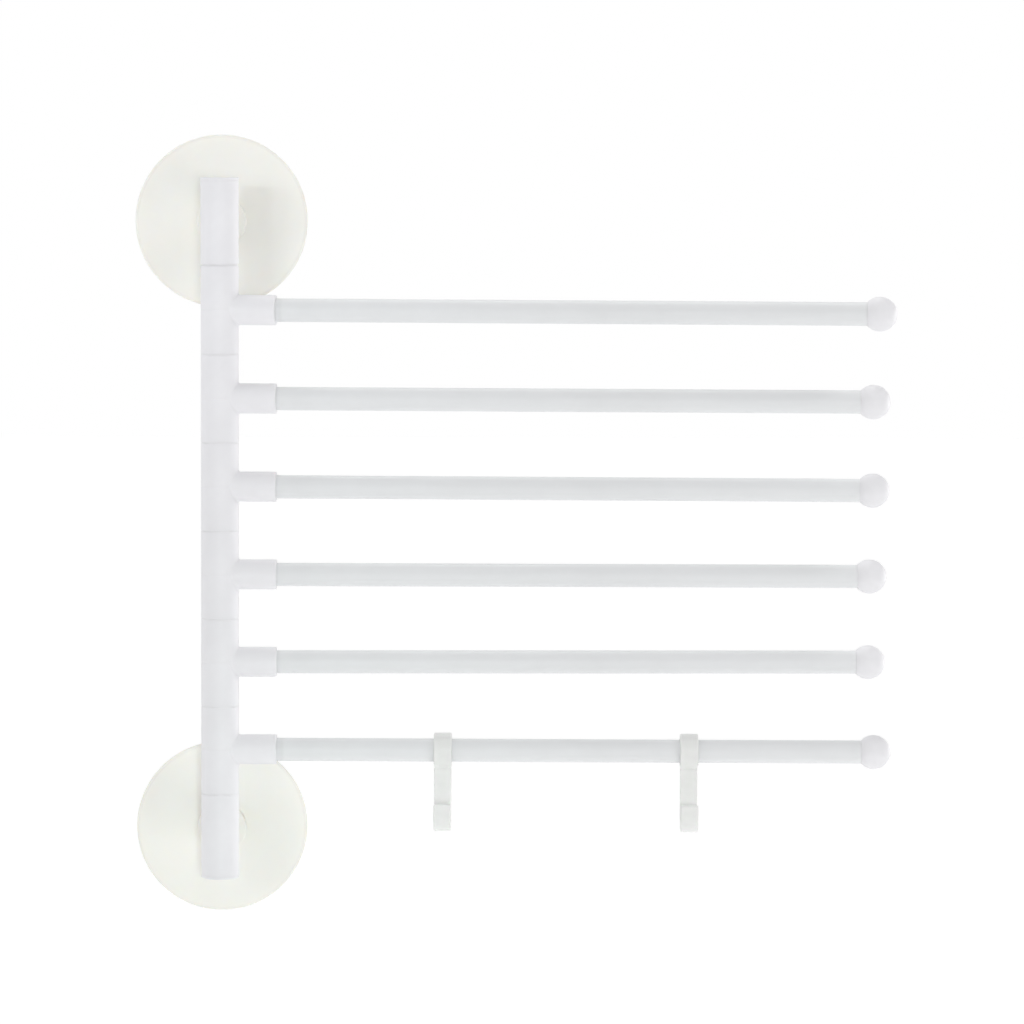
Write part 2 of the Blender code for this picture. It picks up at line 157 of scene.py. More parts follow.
# Faces
POST_SEGMENTS = 96
ARM_SEGMENTS = 64
DISC_SEGMENTS = 192
RING_SPACING = 0.0015
ARC_STEPS = 5
BALL_STEPS = 28
HOOK_BEND_STEPS = 28
HOOK_SHANK_STEPS = 10
HOOK_TIP_STEPS = 4
FLOOR_CELLS = 8

ALONG_ARM = Matrix.Rotation(math.pi / 2, 4, "Y")
OUT_OF_WALL = Matrix.Rotation(math.pi / 2, 4, "X")
INTO_WALL = Matrix.Rotation(-math.pi / 2, 4, "X")
UPSIDE_DOWN = Matrix.Rotation(math.pi, 4, "X")
TOWARDS_WALL = Matrix.Rotation(math.pi / 2, 4, "Z")


# Profiles


def curve_point(start, corner, end, share):
    """Point at this share of the curve from start to end that is drawn towards the corner."""
    return start * (1 - share) ** 2 + corner * 2 * share * (1 - share) + end * share**2


def soft_profile(corners):
    """Turns corners, each (radius, height, rounding), into points, with a curve if rounded."""
    points = []
    count = len(corners)
    for index, (radius, height, rounding) in enumerate(corners):
        here = Vector((radius, height))
        if not rounding:
            points.append(here)
            continue
        before = (Vector(corners[index - 1][:2]) - here).normalized()
        after = (Vector(corners[(index + 1) % count][:2]) - here).normalized()
        reach = rounding / math.tan(before.angle(after) / 2)
        start, end = here + before * reach, here + after * reach
        for step in range(ARC_STEPS + 1):
            points.append(curve_point(start, here, end, step / ARC_STEPS))
    return points


def divided(points, longest):
    """Adds points along each stretch that is longer than the given length."""
    result = [points[0]]
    for first, second in zip(points, points[1:]):
        count = max(1, math.ceil((second - first).length / longest))
        for step in range(1, count + 1):
            result.append(first.lerp(second, step / count))
    return result


def turned_mesh(name, profile, segments):
    """Turns the profile about Z. A profile that starts off the axis makes a ring."""
    shape = bmesh.new()
    verts = [shape.verts.new((max(point[0], 0.0), 0.0, point[1])) for point in profile]
    pairs = list(zip(verts, verts[1:]))
    if profile[0][0] > 0:
        pairs.append((verts[-1], verts[0]))
    edges = [shape.edges.new(pair) for pair in pairs]
    bmesh.ops.spin(
        shape, geom=verts + edges, cent=(0, 0, 0), axis=(0, 0, 1),
        angle=math.tau, steps=segments, use_merge=True,
    )
    return finished_mesh(name, shape)


def finished_mesh(name, shape):
    bmesh.ops.remove_doubles(shape, verts=shape.verts, dist=MERGE_DISTANCE)
    bmesh.ops.recalc_face_normals(shape, faces=shape.faces)
    mesh = bpy.data.meshes.new(name)
    shape.to_mesh(mesh)
    shape.free()
    return mesh


def combined_mesh(name, base, steps):
    """Joins or cuts the base mesh with each (operation, mesh, placing) in turn."""
    body = helper_object(base, Matrix())
    helpers = []
    for operation, mesh, placing in steps:
        helper = helper_object(mesh, placing)
        helpers.append(helper)
        modifier = body.modifiers.new(mesh.name, "BOOLEAN")
        modifier.operation = operation
        modifier.solver = "EXACT"
        modifier.object = helper
    bpy.context.view_layer.update()
    graph = bpy.context.evaluated_depsgraph_get()
    raw = bpy.data.meshes.new_from_object(body.evaluated_get(graph))
    for helper in [body, *helpers]:
        bpy.data.objects.remove(helper, do_unlink=True)
    shape = bmesh.new()
    shape.from_mesh(raw)
    bpy.data.meshes.remove(raw)
    return finished_mesh(name, shape)


def helper_object(mesh, placing):
    helper = bpy.data.objects.new(mesh.name, mesh)
    helper.matrix_world = placing
    bpy.context.scene.collection.objects.link(helper)
    return helper


def closed_strip(name, sections, ends=False):
    """Skins closed sections one after another, in a ring or, with ends, between two end faces."""
    shape = bmesh.new()
    rings = [[shape.verts.new(point) for point in section] for section in sections]
    pairs = list(zip(rings, rings[1:]))
    if not ends:
        pairs.append((rings[-1], rings[0]))
    for first, second in pairs:
        for corner in range(len(first)):
            following = (corner + 1) % len(first)
            shape.faces.new((first[corner], first[following], second[following], second[corner]))
    if ends:
        shape.faces.new(rings[0])
        shape.faces.new(rings[-1])
    return finished_mesh(name, shape)


def fillet_mesh(name, post, side, fillet, segments):
    """Soft corner between a post about Z and a round side branch about X."""
    sections = []
    sunk = post - SINK
    for index in range(segments):
        angle = math.tau * (index + 0.5) / segments
        across, up = math.cos(angle), math.sin(angle)
        turn = math.asin(side * across / post)
        corner = Vector((post * math.cos(turn), side * across, side * up))
        wider = turn + fillet * across / post
        foot = Vector((sunk * math.cos(wider), sunk * math.sin(wider), (side + fillet) * up))
        flank = Vector((corner.x + fillet, (side - SINK) * across, (side - SINK) * up))
        section = []
        for step in range(ARC_STEPS + 1):
            section.append(curve_point(foot, corner, flank, step / ARC_STEPS))
        inner = (post - 2 * fillet) / post
        section.append(Vector((corner.x * inner, corner.y * inner, corner.z * inner)))
        sections.append(section)
    return closed_strip(name, sections)


# Pieces


def hub_mesh():
    half = HUB_HEIGHT / 2
    profile = soft_profile([
        (SHAFT_BORE_RADIUS, -half, 0),
        (POST_RADIUS, -half, POST_EDGE),
        (POST_RADIUS, -GROOVE_WIDTH / 2, 0),
        (POST_RADIUS - GROOVE_DEPTH, 0, 0),
        (POST_RADIUS, GROOVE_WIDTH / 2, 0),
        (POST_RADIUS, half, POST_EDGE),
        (RECESS_RADIUS, half, 0),
        (RECESS_RADIUS, half - RECESS_DEPTH, 0),
        (SHAFT_BORE_RADIUS, half - RECESS_DEPTH, 0),
    ])
    socket_start = (SHAFT_BORE_RADIUS + math.sqrt(POST_RADIUS**2 - SOCKET_RADIUS**2)) / 2
    socket = soft_profile([
        (0, socket_start, 0),
        (SOCKET_RADIUS, socket_start, 0),
        (SOCKET_RADIUS, SOCKET_REACH, SOCKET_LIP),
        (0, SOCKET_REACH, 0),
    ])
    bore = soft_profile([
        (0, SOCKET_FLOOR, 0),
        (BORE_RADIUS, SOCKET_FLOOR, 0),
        (BORE_RADIUS, SOCKET_REACH - 2 * SOCKET_MOUTH_DEPTH, 0),
        (TUBE_RADIUS + SOCKET_MOUTH, SOCKET_REACH - SOCKET_MOUTH_DEPTH, 0),
        (TUBE_RADIUS + SOCKET_MOUTH, SOCKET_REACH + CUT_OVERRUN, 0),
        (0, SOCKET_REACH + CUT_OVERRUN, 0),
    ])
    blank = turned_mesh("hub blank", divided(profile, RING_SPACING), POST_SEGMENTS)
    fillet = fillet_mesh("socket fillet", POST_RADIUS, SOCKET_RADIUS, SOCKET_FILLET, POST_SEGMENTS)
    steps = [
        ("UNION", turned_mesh("socket", divided(socket, RING_SPACING), ARM_SEGMENTS), ALONG_ARM),
        ("UNION", fillet, Matrix()),
        ("DIFFERENCE", turned_mesh("socket bore", bore, ARM_SEGMENTS), ALONG_ARM),
    ]
    return combined_mesh("hub", blank, steps)


def tube_mesh():
    inner = TUBE_RADIUS - TUBE_WALL
    profile = soft_profile([
        (inner, TUBE_START, TUBE_EDGE),
        (TUBE_RADIUS, TUBE_START, TUBE_EDGE),
        (TUBE_RADIUS, TUBE_END, TUBE_EDGE),
        (inner, TUBE_END, TUBE_EDGE),
    ])
    return turned_mesh("bar", profile, ARM_SEGMENTS)


def ball_mesh():
    stem = TUBE_RADIUS - TUBE_WALL - GAP
    flat = BALL_CENTRE - BALL_FLAT_OFFSET
    first = math.acos(-BALL_FLAT_OFFSET / BALL_RADIUS)
    profile = soft_profile([
        (0, flat - STEM_LENGTH, 0),
        (stem, flat - STEM_LENGTH, STEM_EDGE),
        (stem, flat, 0),
    ])
    for step in range(BALL_STEPS):
        angle = first * (1 - step / BALL_STEPS)
        radius, rise = BALL_RADIUS * math.sin(angle), BALL_RADIUS * math.cos(angle)
        profile.append(Vector((radius, BALL_CENTRE + rise)))
    profile.append(Vector((0, ARM_REACH)))
    return turned_mesh("ball end", profile, ARM_SEGMENTS)


def sleeve_mesh(name, inner_end, outer_end, recess):
    pocket_floor = outer_end - POCKET_DEPTH
    corners = [
        (POST_RADIUS, inner_end, POST_EDGE),
        (POST_RADIUS, outer_end, POST_EDGE),
        (POCKET_RADIUS, outer_end, 0),
        (POCKET_RADIUS, pocket_floor, 0),
        (SHAFT_BORE_RADIUS, pocket_floor, 0),
    ]
    if recess:
        corners.append((SHAFT_BORE_RADIUS, inner_end + RECESS_DEPTH, 0))
        corners.append((RECESS_RADIUS, inner_end + RECESS_DEPTH, 0))
        corners.append((RECESS_RADIUS, inner_end, 0))
    else:
        corners.append((SHAFT_BORE_RADIUS, inner_end, 0))
    neck_start = (SHAFT_BORE_RADIUS + math.sqrt(POST_RADIUS**2 - NECK_RADIUS**2)) / 2
    neck_end = POST_STANDOFF - BOSS_FRONT - GAP
    neck = soft_profile([
        (0, neck_start, 0),
        (NECK_RADIUS, neck_start, 0),
        (NECK_RADIUS, neck_end, POST_EDGE),
        (0, neck_end, 0),
    ])
    bore_start = neck_end - SCREW_ENGAGEMENT - GAP
    bore = soft_profile([
        (0, bore_start, 0),
        (SCREW_BORE_RADIUS, bore_start, 0),
        (SCREW_BORE_RADIUS, neck_end + CUT_OVERRUN, 0),
        (0, neck_end + CUT_OVERRUN, 0),
    ])
    profile = divided(soft_profile(corners), RING_SPACING)
    blank = turned_mesh(name + " blank", profile, POST_SEGMENTS)
    fillet = fillet_mesh("neck fillet", POST_RADIUS, NECK_RADIUS, NECK_FILLET, POST_SEGMENTS)
    steps = [
        ("UNION", turned_mesh("neck", divided(neck, RING_SPACING), ARM_SEGMENTS), INTO_WALL),
        ("UNION", fillet, TOWARDS_WALL),
        ("DIFFERENCE", turned_mesh("screw bore", bore, ARM_SEGMENTS), INTO_WALL),
    ]
    return combined_mesh(name, blank, steps)


def cap_mesh():
    outer = POCKET_RADIUS - GAP
    inner = outer - CAP_SPIGOT_WALL
    spigot_end = -CAP_STEP - CAP_SPIGOT
    profile = soft_profile([
        (0, -CAP_GATE_DEPTH, 0),
        (CAP_GATE_RADIUS, -CAP_GATE_DEPTH, CAP_GATE_DEPTH / 2),
        (CAP_GATE_RADIUS, 0, CAP_GATE_DEPTH / 2),
        (POST_RADIUS, 0, CAP_EDGE),
        (POST_RADIUS, -CAP_SEAT, TUBE_EDGE),
        (outer, -CAP_SEAT, 0),
        (outer, spigot_end, 0),
        (inner, spigot_end, 0),
        (inner, -CAP_FLANGE, 0),
        (0, -CAP_FLANGE, 0),
    ])
    return turned_mesh("end cap", profile, POST_SEGMENTS)


def washer_mesh(name, seam, inset):
    """Spacer whose rim fills the seam above its recess, a little inside the post's face."""
    step = RECESS_DEPTH - GAP + SEAM_CLEARANCE
    top = RECESS_DEPTH - GAP + seam - SEAM_CLEARANCE
    profile = soft_profile([
        (SHAFT_BORE_RADIUS, 0, TUBE_EDGE),
        (WASHER_RADIUS, 0, TUBE_EDGE),
        (WASHER_RADIUS, step, 0),
        (POST_RADIUS - inset, step, 0),
        (POST_RADIUS - inset, top, 0),
        (SHAFT_BORE_RADIUS, top, TUBE_EDGE),
    ])
    return turned_mesh(name, profile, POST_SEGMENTS)


def pad_mesh():
    profile = soft_profile([
        (0, 0, 0),
        (PAD_RADIUS, 0, PAD_EDGE),
        (PAD_RADIUS, PAD_THICKNESS, PAD_EDGE),
        (0, PAD_THICKNESS, 0),
    ])
    return turned_mesh("foam pad", profile, DISC_SEGMENTS)


def disc_mesh():
    recess_radius = SCREW_HEAD_RADIUS + GAP
    recess_floor = DISC_BACK + SCREW_HEAD_THICKNESS + GAP
    profile = soft_profile([
        (recess_radius, DISC_BACK, 0),
        (DISC_RADIUS, DISC_BACK, PAD_EDGE),
        (DISC_RADIUS, DISC_FRONT, DISC_EDGE),
        (BOSS_RADIUS, DISC_FRONT, BOSS_FILLET),
        (BOSS_RADIUS, BOSS_FRONT, BOSS_EDGE),
        (SCREW_BORE_RADIUS, BOSS_FRONT, 0),
        (SCREW_BORE_RADIUS, recess_floor, 0),
        (recess_radius, recess_floor, 0),
    ])
    return turned_mesh("disc", profile, DISC_SEGMENTS)


def hook_path():
    """Middle line of the band in (y, z): down from the ring, round the bend and up the tip."""
    bend = HOOK_MOUTH_RADIUS + HOOK_BAND_THICKNESS / 2
    bend_height = -HOOK_DROP + HOOK_BAND_THICKNESS / 2 + bend
    top = -(BORE_RADIUS + HOOK_RING_RADIUS) / 2
    points = []
    for step in range(HOOK_SHANK_STEPS):
        points.append((0, top + (bend_height - top) * step / HOOK_SHANK_STEPS))
    for step in range(HOOK_BEND_STEPS + 1):
        angle = math.pi * step / HOOK_BEND_STEPS
        points.append((-bend + bend * math.cos(angle), bend_height - bend * math.sin(angle)))
    rise = HOOK_TIP_RISE - HOOK_DROP - bend_height
    for step in range(1, HOOK_TIP_STEPS + 1):
        share = step / HOOK_TIP_STEPS
        points.append((-2 * bend - HOOK_TIP_LEAN_SHARE * rise * share, bend_height + rise * share))
    return points


def band_section(y, z, out_y, out_z, size):
    """Rounded rectangle across the band at one point of its path. Its size shrinks at the tip."""
    half_width = HOOK_BAND_WIDTH / 2 - HOOK_TIP_ROUNDING * (1 - size)
    half_thickness = HOOK_BAND_THICKNESS / 2 * size
    rounding = HOOK_BAND_EDGE * size
    points = []
    for side, face in ((1, 1), (-1, 1), (-1, -1), (1, -1)):
        for step in range(ARC_STEPS):
            angle = math.pi / 2 * step / (ARC_STEPS - 1)
            if side * face < 0:
                angle = math.pi / 2 - angle
            across = side * (half_width - rounding + rounding * math.cos(angle))
            offset = face * (half_thickness - rounding + rounding * math.sin(angle))
            points.append((across, y + offset * out_y, z + offset * out_z))
    return points


def band_mesh():
    path = hook_path()
    sections = []
    for index, (y, z) in enumerate(path):
        before, after = path[max(index - 1, 0)], path[min(index + 1, len(path) - 1)]
        run, rise = after[0] - before[0], after[1] - before[1]
        length = math.hypot(run, rise)
        out_y, out_z = -rise / length, run / length
        if index < len(path) - 1:
            sections.append(band_section(y, z, out_y, out_z, 1.0))
            continue
        for step in range(ARC_STEPS + 1):
            turn = math.pi / 2 * step / (ARC_STEPS + 1)
            back = HOOK_TIP_ROUNDING * (math.sin(turn) - 1)
            place_y, place_z = y + back * run / length, z + back * rise / length
            sections.append(band_section(place_y, place_z, out_y, out_z, math.cos(turn)))
    return closed_strip("hook band", sections, ends=True)


def hook_mesh():
    half = HOOK_RING_WIDTH / 2
    profile = soft_profile([
        (BORE_RADIUS, -half, TUBE_EDGE),
        (HOOK_RING_RADIUS, -half, HOOK_RING_EDGE),
        (HOOK_RING_RADIUS, half, HOOK_RING_EDGE),
        (BORE_RADIUS, half, TUBE_EDGE),
    ])
    ring = turned_mesh("hook ring", profile, ARM_SEGMENTS)
    ring.transform(ALONG_ARM)
    return combined_mesh("hook", ring, [("UNION", band_mesh(), Matrix())])


# Materials

NOISE_ROUGHNESS = 0.55
NOISE_LOW = 0.3
NOISE_HIGH = 0.7
FINE_DETAIL = 3.0
PLAIN_DETAIL = 2.0

# Which of a piece's own axes count when a distance is measured in it
ALONG_TURNING_AXIS = (0.0, 0.0, 1.0)
FROM_TURNING_AXIS = (1.0, 1.0, 0.0)
FROM_BAR = (0.0, 1.0, 1.0)
IN_FRONT_OF_BAR = (0.0, 1.0, 0.0)

# Painted shade: faintly darker places, and the share of the colour that is left there
SOCKET_PAINTED_SHADE_WIDTH = 0.0016
SOCKET_PAINTED_SHADE_SHARE = 0.945
RIM_PAINTED_SHADE_WIDTH = 0.0018
RIM_PAINTED_SHADE_FULL_WIDTH = 0.0010
RIM_PAINTED_SHADE_SHARE = 0.955
HOOK_RING_PAINTED_SHADE_WIDTH = 0.0018
HOOK_TIP_PAINTED_SHADE_START = 0.0085
HOOK_TIP_PAINTED_SHADE_END = 0.0125
HOOK_PAINTED_SHADE_SHARE = 0.955


def new_material(name, ior=1.50):
    material = bpy.data.materials.new(name)
    material.use_nodes = True
    shader = material.node_tree.nodes["Principled BSDF"]
    shader.inputs["IOR"].default_value = ior
    return material, material.node_tree, shader


def noise(tree, scale, detail=FINE_DETAIL):
    """Noise in the piece's own coordinates, with its scale in features per metre."""
    place = tree.nodes.new("ShaderNodeTexCoord")
    texture = tree.nodes.new("ShaderNodeTexNoise")
    texture.inputs["Scale"].default_value = scale
    texture.inputs["Detail"].default_value = detail
    texture.inputs["Roughness"].default_value = NOISE_ROUGHNESS
    tree.links.new(place.outputs["Object"], texture.inputs["Vector"])
    return texture.outputs["Fac"]


def colour_between(tree, shader, factor, dark, light):
    ramp = tree.nodes.new("ShaderNodeValToRGB")
    ramp.color_ramp.elements[0].position = NOISE_LOW
    ramp.color_ramp.elements[0].color = (*dark, 1.0)
    ramp.color_ramp.elements[1].position = NOISE_HIGH
    ramp.color_ramp.elements[1].color = (*light, 1.0)
    tree.links.new(factor, ramp.inputs["Fac"])
    tree.links.new(ramp.outputs["Color"], shader.inputs["Base Color"])


def roughness_between(tree, shader, factor, low, high):
    spread = tree.nodes.new("ShaderNodeMapRange")
    spread.inputs["From Min"].default_value = NOISE_LOW
    spread.inputs["From Max"].default_value = NOISE_HIGH
    spread.inputs["To Min"].default_value = low
    spread.inputs["To Max"].default_value = high
    tree.links.new(factor, spread.inputs["Value"])
    tree.links.new(spread.outputs["Result"], shader.inputs["Roughness"])


def add_bump(tree, shader, factor, height, strength):
    """Puts a bump, with its height in metres, on top of any that the shader has."""
    node = tree.nodes.new("ShaderNodeBump")
    node.inputs["Distance"].default_value = height
    node.inputs["Strength"].default_value = strength
    tree.links.new(factor, node.inputs["Height"])
    earlier = shader.inputs["Normal"].links
    if earlier:
        tree.links.new(earlier[0].from_socket, node.inputs["Normal"])
    tree.links.new(node.outputs["Normal"], shader.inputs["Normal"])


def add_depth(shader, weight, depths):
    """Lets light into the plastic, by these depths in metres for red, green and blue."""
    shader.inputs["Subsurface Weight"].default_value = weight
    shader.inputs["Subsurface Radius"].default_value = depths
    shader.inputs["Subsurface Scale"].default_value = 1.0


def measured(tree, kept_axes, start, end):
    """Goes from 0 to 1 between two distances from the piece's origin, along the kept axes."""
    place = tree.nodes.new("ShaderNodeTexCoord")
    flat = tree.nodes.new("ShaderNodeVectorMath")
    flat.operation = "MULTIPLY"
    flat.inputs[1].default_value = kept_axes
    length = tree.nodes.new("ShaderNodeVectorMath")
    length.operation = "LENGTH"
    spread = tree.nodes.new("ShaderNodeMapRange")
    spread.interpolation_type = "SMOOTHSTEP"
    spread.inputs["From Min"].default_value = start
    spread.inputs["From Max"].default_value = end
    tree.links.new(place.outputs["Object"], flat.inputs[0])
    tree.links.new(flat.outputs["Vector"], length.inputs[0])
    tree.links.new(length.outputs["Value"], spread.inputs["Value"])
    return spread.outputs["Result"]


def paint_shade(tree, shader, factor, share):
    """Paints shade into the colour: multiplies the base colour by the given share where the factor
    is 1.
    """
    plain = shader.inputs["Base Color"].links[0].from_socket
    mix = tree.nodes.new("ShaderNodeMix")
    mix.data_type = "RGBA"
    mix.blend_type = "MULTIPLY"
    amount, colour, multiplier = mix.inputs[0], mix.inputs[6], mix.inputs[7]
    multiplier.default_value = (share, share, share, 1.0)
    tree.links.new(factor, amount)
    tree.links.new(plain, colour)
    tree.links.new(mix.outputs[2], shader.inputs["Base Color"])


def white_plastic():
    material, tree, shader = new_material("white moulded plastic")
    flow = noise(tree, scale=55.0)
    grain = noise(tree, scale=1800.0, detail=PLAIN_DETAIL)
    colour_between(tree, shader, flow, dark=(0.767, 0.762, 0.782), light=(0.804, 0.799, 0.819))
    roughness_between(tree, shader, noise(tree, scale=420.0), low=0.44, high=0.56)
    add_bump(tree, shader, grain, height=0.000006, strength=0.5)
    add_bump(tree, shader, flow, height=0.0001, strength=0.15)
    return material


def coated_tube():
    material, tree, shader = new_material("white stove enamel", ior=1.52)
    cloud = noise(tree, scale=40.0)
    peel = noise(tree, scale=420.0, detail=PLAIN_DETAIL)
    colour_between(tree, shader, cloud, dark=(0.725, 0.736, 0.744), light=(0.754, 0.765, 0.774))
    roughness_between(tree, shader, noise(tree, scale=300.0), low=0.42, high=0.54)
    add_bump(tree, shader, peel, height=0.00001, strength=0.5)
    # Painted shade: a faint dark band on the bar just outside the socket's mouth, where the socket
    # casts its shadow.
    shaded_end = SOCKET_REACH + SOCKET_PAINTED_SHADE_WIDTH
    painted_socket_shade = measured(tree, ALONG_TURNING_AXIS, shaded_end, SOCKET_REACH)
    paint_shade(tree, shader, painted_socket_shade, SOCKET_PAINTED_SHADE_SHARE)
    return material


def milky_plastic():
    material, tree, shader = new_material("milky plastic", ior=1.49)
    add_depth(shader, weight=0.25, depths=(0.0045, 0.0032, 0.0022))
    cloud = noise(tree, scale=38.0)
    grain = noise(tree, scale=2400.0, detail=PLAIN_DETAIL)
    colour_between(tree, shader, cloud, dark=(0.874, 0.860, 0.805), light=(0.898, 0.886, 0.836))
    # Painted shade: a faint dark band along the inside of the disc's rim.
    inner, outer = DISC_RADIUS - RIM_PAINTED_SHADE_WIDTH, DISC_RADIUS - RIM_PAINTED_SHADE_FULL_WIDTH
    paint_shade(tree, shader, measured(tree, FROM_TURNING_AXIS, inner, outer), RIM_PAINTED_SHADE_SHARE)
    roughness_between(tree, shader, noise(tree, scale=500.0), low=0.45, high=0.56)
    add_bump(tree, shader, grain, height=0.000005, strength=0.5)
    add_bump(tree, shader, cloud, height=0.00015, strength=0.1)
    return material


def hook_plastic():
    material, tree, shader = new_material("hook plastic")
    add_depth(shader, weight=0.2, depths=(0.0020, 0.0024, 0.0020))
    cloud = noise(tree, scale=160.0)
    grain = noise(tree, scale=1800.0, detail=PLAIN_DETAIL)
    colour_between(tree, shader, cloud, dark=(0.782, 0.788, 0.775), light=(0.826, 0.832, 0.819))
    # Painted shade: the ring round the bar and the hook's tip are painted faintly darker.
    shaded_end = HOOK_RING_RADIUS + HOOK_RING_PAINTED_SHADE_WIDTH
    ring = measured(tree, FROM_BAR, shaded_end, HOOK_RING_RADIUS)
    painted_tip_shade = measured(tree, IN_FRONT_OF_BAR, HOOK_TIP_PAINTED_SHADE_START, HOOK_TIP_PAINTED_SHADE_END)
    paint_shade(tree, shader, ring, HOOK_PAINTED_SHADE_SHARE)
    paint_shade(tree, shader, painted_tip_shade, HOOK_PAINTED_SHADE_SHARE)
    roughness_between(tree, shader, noise(tree, scale=700.0), low=0.36, high=0.48)
    add_bump(tree, shader, grain, height=0.000006, strength=0.5)
    add_bump(tree, shader, cloud, height=0.0001, strength=0.1)
    return material


def pad_foam():
    material, tree, shader = new_material("pad foam")
    cells = tree.nodes.new("ShaderNodeTexVoronoi")
    cells.inputs["Scale"].default_value = 1400.0
    place = tree.nodes.new("ShaderNodeTexCoord")
    tree.links.new(place.outputs["Object"], cells.inputs["Vector"])
    cloud = noise(tree, scale=60.0)
    colour_between(tree, shader, cloud, dark=(0.70, 0.70, 0.68), light=(0.76, 0.76, 0.74))
    roughness_between(tree, shader, noise(tree, scale=500.0), low=0.65, high=0.85)
    add_bump(tree, shader, cells.outputs["Distance"], height=0.0002, strength=0.6)
    return material


def steel():
    material, tree, shader = new_material("zinc plated steel")
    shader.inputs["Metallic"].default_value = 1.0
    cloud = noise(tree, scale=200.0)
    grain = noise(tree, scale=1500.0)
    colour_between(tree, shader, cloud, dark=(0.50, 0.51, 0.53), light=(0.62, 0.63, 0.65))
    roughness_between(tree, shader, grain, low=0.28, high=0.42)
    add_bump(tree, shader, grain, height=0.00001, strength=0.4)
    return material


def nylon():
    material, tree, shader = new_material("nylon")
    add_depth(shader, weight=0.1, depths=(0.001, 0.001, 0.0008))
    cloud = noise(tree, scale=300.0)
    grain = noise(tree, scale=2400.0, detail=PLAIN_DETAIL)
    colour_between(tree, shader, cloud, dark=(0.750, 0.746, 0.760), light=(0.785, 0.781, 0.795))
    roughness_between(tree, shader, noise(tree, scale=900.0), low=0.42, high=0.55)
    add_bump(tree, shader, grain, height=0.000006, strength=0.5)
    return material


# Assembly

HIDDEN_STEEL_NODES = ("shaft", "top_nut", "bottom_nut", "upper_fixing_screw", "lower_fixing_screw")


def piece(name, mesh, placing, body, node):
    """Adds a visible piece that rides on a body, in the place of a node of the CAD model."""
    item = bpy.data.objects.new(name, mesh)
    bpy.context.scene.collection.objects.link(item)
    item.matrix_world = placing
    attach(item, body)
    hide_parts(node)
    modifier = item.modifiers.new("even shading", "WEIGHTED_NORMAL")
    modifier.keep_sharp = True


def dressed(mesh, material):
    mesh.materials.clear()
    mesh.materials.append(material)
    mesh.shade_smooth()
    mesh.set_sharp_from_angle(angle=SHARP_ANGLE)
    return mesh


def on_post(height):
    return Matrix.Translation((0, -POST_STANDOFF, height))


def build_wall_pieces(plastic, foam):
    disc = dressed(disc_mesh(), plastic)
    pad = dressed(pad_mesh(), foam)
    for side, height in (("upper", 0.0), ("lower", LOWER_DISC_HEIGHT)):
        placing = Matrix.Translation((0, 0, height)) @ OUT_OF_WALL
        piece(side + "_disc_shell", disc, placing, "root", side + "_wall_disc")
        piece(side + "_foam_pad", pad, placing, "root", side + "_wall_pad")


def build_post(plastic, washer_plastic):
    seam = -ARM_PITCH / 2 + SEAM_GAP / 2
    top_seam = -ARM_PITCH / 2 + TOP_SEAM_GAP - SEAM_GAP / 2
    upper = sleeve_mesh("upper sleeve", top_seam, POST_TOP_RISE - CAP_STEP, False)
    lower = sleeve_mesh("lower sleeve", seam, POST_BOTTOM_DROP - CAP_STEP, True)
    lower.transform(Matrix.Scale(-1, 4, (0, 0, 1)))
    lower.flip_normals()
    cap = dressed(cap_mesh(), plastic)
    for name, mesh, placing, node in (
        ("upper_sleeve", dressed(upper, plastic), on_post(0), "top_sleeve"),
        ("lower_sleeve", dressed(lower, plastic), on_post(LOWER_DISC_HEIGHT), "bottom_sleeve"),
        ("upper_end_cap", cap, on_post(POST_TOP_RISE), "top_cap"),
        ("lower_end_cap", cap, on_post(POST_BOTTOM) @ UPSIDE_DOWN, "bottom_cap"),
    ):
        piece(name, mesh, placing, "root", node)
    washer = dressed(washer_mesh("spacer", SEAM_GAP, SEAM_INSET), washer_plastic)
    top_washer = dressed(washer_mesh("top spacer", TOP_SEAM_GAP, TOP_SEAM_INSET), washer_plastic)
    recess_floor = -ARM_PITCH / 2 - SEAM_GAP / 2 - RECESS_DEPTH
    for index in range(ARM_COUNT + 1):
        placing = on_post(recess_floor + GAP - ARM_PITCH * index)
        mesh = washer if index else top_washer
        piece(f"spacer_{index + 1}", mesh, placing, "root", f"washer_{index + 1}")


def on_arm(index):
    """Where the arm's bar meets the post's axis, turned as the arm is at rest."""
    turn = Matrix.Rotation(-math.radians(ARM_FAN_DEGREES[index]), 4, "Z")
    return on_post(-ARM_PITCH * (index + 1)) @ turn


def build_arms(plastic, coated):
    hub = dressed(hub_mesh(), plastic)
    tube = dressed(tube_mesh(), coated)
    ball = dressed(ball_mesh(), plastic)
    for index in range(ARM_COUNT):
        body = f"arm_{index + 1}"
        placing = on_arm(index)
        piece(body + "_hub_shell", hub, placing, body, body + "_hub")
        pulled = placing @ Matrix.Translation((ARM_PULL * ARM_PULL_SHARES[index], 0, 0)) @ ALONG_ARM
        piece(body + "_bar", tube, pulled, body, body + "_tube")
        piece(body + "_ball_end", ball, pulled, body, body + "_ball")


def build_hooks(plastic):
    hook = dressed(hook_mesh(), plastic)
    lowest_arm = on_arm(ARM_COUNT - 1)
    for index, reach in enumerate(HOOK_REACHES):
        name = f"hook_{index + 1}"
        placing = lowest_arm @ Matrix.Translation((reach, 0, 0))
        piece(name + "_clip", hook, placing, name, name)


def dress_hidden_nodes(metal):
    for name in HIDDEN_STEEL_NODES:
        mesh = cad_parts[name].data
        mesh.materials.clear()
        mesh.materials.append(metal)


# Camera, floor and lights

AIM = (0.125, -0.04, -0.13)
FLOOR_HEIGHT = -0.95
FLOOR_SIZE = 30.0
FLOOR_GREY = 0.5
FLOOR_ROUGHNESS = 0.9
FLOOR_SPECULAR = 0.1
WHITE = (1.0, 1.0, 1.0, 1.0)

